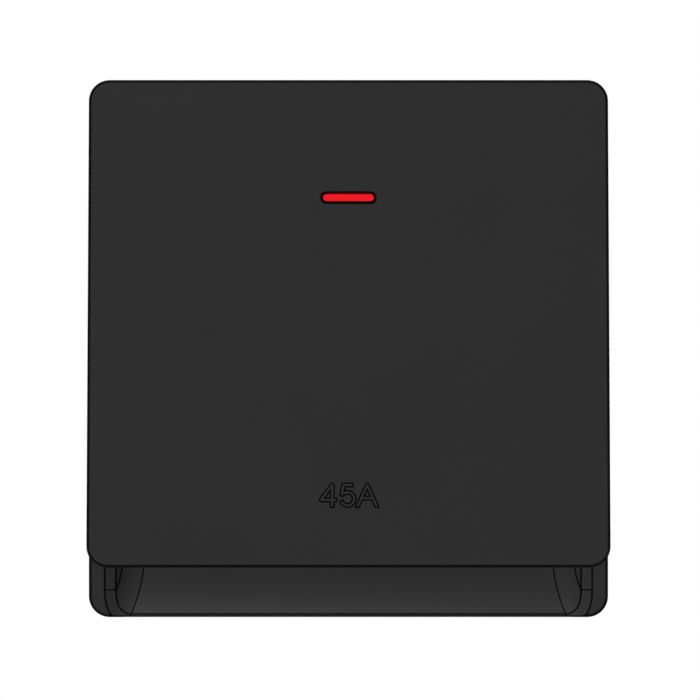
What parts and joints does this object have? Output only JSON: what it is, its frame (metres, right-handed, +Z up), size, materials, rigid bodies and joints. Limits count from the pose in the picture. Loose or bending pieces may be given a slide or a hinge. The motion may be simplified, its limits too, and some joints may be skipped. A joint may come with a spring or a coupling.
{
  "type": "double pole switch",
  "caption": "Flush wall switch with a wide tilting rocker, red indicator bar and a dished black surround, over a two pole see-saw contact set in a rear housing.",
  "frame": {"origin": "centre of the plate in the plane of the wall, midway between the two fixing slots", "axes": "+X to the right as seen from the room, +Y into the wall, +Z up"},
  "size_m": [0.087, 0.0375, 0.09],
  "materials": {
    "black_plastic": "fine satin moulding",
    "black_nylon": "matt moulding",
    "white_nylon": "natural nylon",
    "grey_nylon": "matt moulding",
    "red_lens": "clear red, polished",
    "lamp_glass": "clear",
    "resistor_coat": "lacquer",
    "tinned_wire": "dull tin",
    "zinc_steel": "zinc plated",
    "spring_steel": "drawn wire",
    "copper": "rolled",
    "silver": "satin",
    "brass": "machined"
  },
  "bodies": {
    "base": {"front_frame": "black_plastic", "mounting_plate": "black_nylon", "rear_housing": "grey_nylon", "housing_screws": "zinc_steel", "terminal_screws": "zinc_steel", "fixed_tip_line": "silver", "fixed_tip_neutral": "silver", "load_strip_line": "brass", "load_strip_neutral": "brass", "supply_strip_line": "brass", "supply_strip_neutral": "brass", "load_terminal_line": "brass", "load_terminal_neutral": "brass", "supply_terminal_line": "brass", "supply_terminal_neutral": "brass", "indicator_lamp": "lamp_glass", "lamp_resistor": "resistor_coat", "lamp_lead_line": "tinned_wire", "lamp_lead_neutral": "tinned_wire"},
    "rocker": {"rocker_plate": "black_plastic", "indicator_lens": "red_lens", "dolly": "black_nylon", "plunger_spring_line": "spring_steel", "plunger_spring_neutral": "spring_steel"},
    "line_plunger": {"plunger_line": "white_nylon"},
    "neutral_plunger": {"plunger_neutral": "white_nylon"},
    "line_bar": {"contact_bar_line": "copper", "moving_tip_line": "silver"},
    "neutral_bar": {"contact_bar_neutral": "copper", "moving_tip_neutral": "silver"}
  },
  "joints": [
    {"name": "rocker_tilt", "type": "hinge", "parent": "base", "child": "rocker", "pos_m": [0, -0.0046, 0], "axis": [1, 0, 0], "range_deg": [0, 6]},
    {"name": "line_bar_swing", "type": "hinge", "parent": "base", "child": "line_bar", "pos_m": [0.013, 0.01732, 0], "axis": [1, 0, 0], "range_deg": [-12, 0]},
    {"name": "neutral_bar_swing", "type": "hinge", "parent": "base", "child": "neutral_bar", "pos_m": [-0.013, 0.01732, 0], "axis": [1, 0, 0], "range_deg": [-12, 0]},
    {"name": "line_plunger_slide", "type": "slide", "parent": "rocker", "child": "line_plunger", "axis": [0, -0.9986, 0.0523], "range_m": [0, 0.0008], "stiffness_N_per_m": 800, "springref_m": -0.002, "deforming": ["plunger_spring_line"]},
    {"name": "neutral_plunger_slide", "type": "slide", "parent": "rocker", "child": "neutral_plunger", "axis": [0, -0.9986, 0.0523], "range_m": [0, 0.0008], "stiffness_N_per_m": 800, "springref_m": -0.002, "deforming": ["plunger_spring_neutral"]}
  ],
  "couplings": [
    {"joint": "line_bar_swing", "follows": "rocker_tilt", "ratio": -2},
    {"joint": "neutral_bar_swing", "follows": "rocker_tilt", "ratio": -2}
  ]
}
